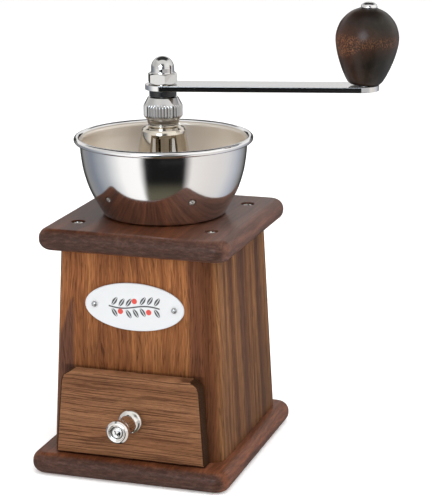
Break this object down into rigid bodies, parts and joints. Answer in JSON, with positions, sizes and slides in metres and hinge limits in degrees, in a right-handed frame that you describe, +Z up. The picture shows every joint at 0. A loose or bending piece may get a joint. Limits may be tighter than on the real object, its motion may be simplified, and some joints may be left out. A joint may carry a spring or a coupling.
{
  "type": "manual coffee grinder",
  "caption": "Hand-cranked box coffee grinder: tapered wooden body, open metal hopper bowl, top crank with turned wooden grip, conical burrs and a grounds drawer.",
  "frame": {"origin": "on the underside of the base board, straight under the spindle's axis", "axes": "+Z up along the spindle, -Y towards the front, where the drawer opens, +X to the right seen from the front"},
  "size_m": [0.1596, 0.1259, 0.2222],
  "materials": {
    "walnut_dark": "satin, oiled dark walnut",
    "walnut": "satin, upright grain",
    "drawer_wood": "satin, grain running across",
    "box_wood": "plain, sanded",
    "grip_wood": "near-black stain under lacquer",
    "nickel": "polished nickel plate",
    "steel": "bright zinc",
    "burr_steel": "hardened and machined",
    "cast_iron": "as cast, dark",
    "brass": "turned",
    "black": "glossy black",
    "enamel": "white enamel"
  },
  "bodies": {
    "housing": {"base_plate": "walnut_dark", "front_panel": "walnut", "back_panel": "walnut", "left_panel": "walnut", "right_panel": "walnut", "top_plate": "walnut_dark", "top_screw_1": "nickel", "top_screw_2": "nickel", "top_screw_3": "nickel", "top_screw_4": "nickel", "base_screw_1": "steel", "base_screw_2": "steel", "base_screw_3": "steel", "base_screw_4": "steel", "hopper_bowl": "nickel", "bridge": "nickel", "bearing_bush": "brass", "bridge_screw_1": "nickel", "bridge_screw_2": "nickel", "bridge_screw_3": "nickel", "bridge_screw_4": "nickel", "bridge_nut_1": "steel", "bridge_nut_2": "steel", "bridge_nut_3": "steel", "bridge_nut_4": "steel", "burr_housing": "cast_iron", "outer_burr": "burr_steel", "lower_bearing_bar": "cast_iron", "bar_screw_1": "steel", "bar_screw_2": "steel", "tail_spring": "steel", "name_plate": "enamel", "plate_rivet_left": "steel", "plate_rivet_right": "steel"},
    "drawer": {"drawer_front": "drawer_wood", "drawer_left_side": "box_wood", "drawer_right_side": "box_wood", "drawer_back": "box_wood", "drawer_bottom": "box_wood", "drawer_knob": "nickel", "knob_screw": "nickel"},
    "nut": {"adjusting_nut": "nickel"},
    "spacer": {"spacer_ring": "black"},
    "crank": {"spindle": "steel", "inner_burr": "burr_steel", "tail_clip": "steel", "tail_washer": "steel", "crank_arm": "nickel", "cap_nut": "nickel", "grip_pin": "nickel"},
    "grip": {"grip": "grip_wood"}
  },
  "joints": [
    {"name": "drawer_slide", "type": "slide", "parent": "housing", "child": "drawer", "axis": [0, -1, 0], "range_m": [0, 0.07]},
    {"name": "crank_spin", "type": "hinge", "parent": "housing", "child": "nut", "pos_m": [0, 0, 0.17], "axis": [0, 0, 1], "continuous": true},
    {"name": "spindle_lift", "type": "slide", "parent": "nut", "child": "spacer", "axis": [0, 0, 1], "range_m": [0, 0.00125], "deforming": ["tail_spring"]},
    {"name": "adjust_turn", "type": "hinge", "parent": "spacer", "child": "crank", "pos_m": [0, 0, 0.18], "axis": [0, 0, 1], "range_deg": [0, 360]},
    {"name": "grip_spin", "type": "hinge", "parent": "crank", "child": "grip", "pos_m": [0.09364, 0.02248, 0.1828], "axis": [0.0441, 0.0106, 0.999], "continuous": true}
  ],
  "couplings": [
    {"joint": "adjust_turn", "follows": "spindle_lift", "rad_per_m": 5026.5}
  ]
}
